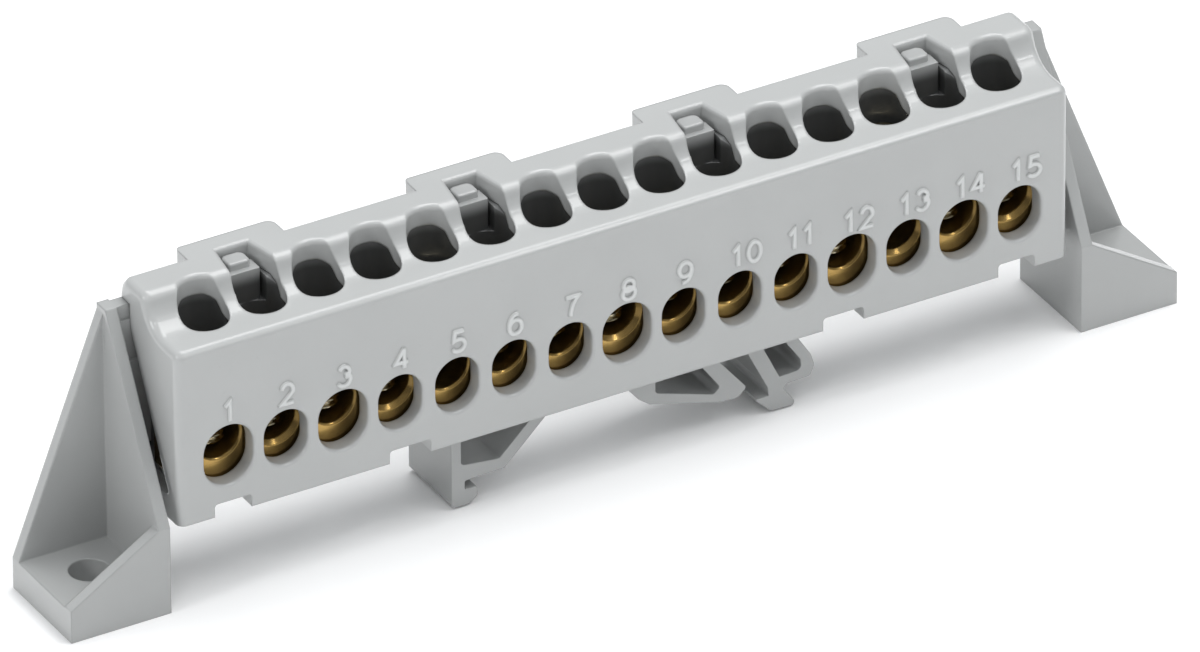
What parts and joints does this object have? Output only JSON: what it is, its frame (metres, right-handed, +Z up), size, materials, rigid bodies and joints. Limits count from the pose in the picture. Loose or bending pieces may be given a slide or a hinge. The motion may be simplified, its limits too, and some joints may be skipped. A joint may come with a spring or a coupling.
{
  "type": "insulated terminal busbar",
  "caption": "Insulated brass terminal bar with numbered wire entries, clamp screws in wells, snap-in rail clips and two screw-down corner feet.",
  "frame": {"origin": "middle of the footprint of the two corner feet, on the plane they stand on", "axes": "+X along the bar from way 1 to way 15, -Y is the numbered wire-entry face, +Z up"},
  "size_m": [0.1276, 0.0136, 0.0327],
  "materials": {
    "cover_plastic": "semi-gloss light grey moulded plastic",
    "base_plastic": "semi-gloss light grey moulded plastic",
    "bracket_plastic": "semi-gloss light grey moulded plastic",
    "brass": "drawn and drilled brass, fine machining marks",
    "screw_steel": "zinc-plated steel, bright"
  },
  "bodies": {
    "housing": {"cover": "cover_plastic", "base": "base_plastic", "busbar": "brass", "bracket_left": "bracket_plastic", "bracket_right": "bracket_plastic"},
    "screw_01": {"terminal_screw_01": "screw_steel"},
    "screw_02": {"terminal_screw_02": "screw_steel"},
    "screw_03": {"terminal_screw_03": "screw_steel"},
    "screw_04": {"terminal_screw_04": "screw_steel"},
    "screw_05": {"terminal_screw_05": "screw_steel"},
    "screw_06": {"terminal_screw_06": "screw_steel"},
    "screw_07": {"terminal_screw_07": "screw_steel"},
    "screw_08": {"terminal_screw_08": "screw_steel"},
    "screw_09": {"terminal_screw_09": "screw_steel"},
    "screw_10": {"terminal_screw_10": "screw_steel"},
    "screw_11": {"terminal_screw_11": "screw_steel"},
    "screw_12": {"terminal_screw_12": "screw_steel"},
    "screw_13": {"terminal_screw_13": "screw_steel"},
    "screw_14": {"terminal_screw_14": "screw_steel"},
    "screw_15": {"terminal_screw_15": "screw_steel"}
  },
  "joints": [
    {"name": "screw_01_travel", "type": "slide", "parent": "housing", "child": "screw_01", "axis": [0, 0, 1], "range_m": [0, 0.005]},
    {"name": "screw_02_travel", "type": "slide", "parent": "housing", "child": "screw_02", "axis": [0, 0, 1], "range_m": [0, 0.005]},
    {"name": "screw_03_travel", "type": "slide", "parent": "housing", "child": "screw_03", "axis": [0, 0, 1], "range_m": [0, 0.005]},
    {"name": "screw_04_travel", "type": "slide", "parent": "housing", "child": "screw_04", "axis": [0, 0, 1], "range_m": [0, 0.005]},
    {"name": "screw_05_travel", "type": "slide", "parent": "housing", "child": "screw_05", "axis": [0, 0, 1], "range_m": [-0.003, 0.002]},
    {"name": "screw_06_travel", "type": "slide", "parent": "housing", "child": "screw_06", "axis": [0, 0, 1], "range_m": [-0.00035, 0.00465]},
    {"name": "screw_07_travel", "type": "slide", "parent": "housing", "child": "screw_07", "axis": [0, 0, 1], "range_m": [-0.00035, 0.00465]},
    {"name": "screw_08_travel", "type": "slide", "parent": "housing", "child": "screw_08", "axis": [0, 0, 1], "range_m": [0, 0.005]},
    {"name": "screw_09_travel", "type": "slide", "parent": "housing", "child": "screw_09", "axis": [0, 0, 1], "range_m": [-0.00035, 0.00465]},
    {"name": "screw_10_travel", "type": "slide", "parent": "housing", "child": "screw_10", "axis": [0, 0, 1], "range_m": [-0.00035, 0.00465]},
    {"name": "screw_11_travel", "type": "slide", "parent": "housing", "child": "screw_11", "axis": [0, 0, 1], "range_m": [-0.00035, 0.00465]},
    {"name": "screw_12_travel", "type": "slide", "parent": "housing", "child": "screw_12", "axis": [0, 0, 1], "range_m": [0, 0.005]},
    {"name": "screw_13_travel", "type": "slide", "parent": "housing", "child": "screw_13", "axis": [0, 0, 1], "range_m": [-0.0036, 0.0014]},
    {"name": "screw_14_travel", "type": "slide", "parent": "housing", "child": "screw_14", "axis": [0, 0, 1], "range_m": [0, 0.005]},
    {"name": "screw_15_travel", "type": "slide", "parent": "housing", "child": "screw_15", "axis": [0, 0, 1], "range_m": [0, 0.005]}
  ]
}
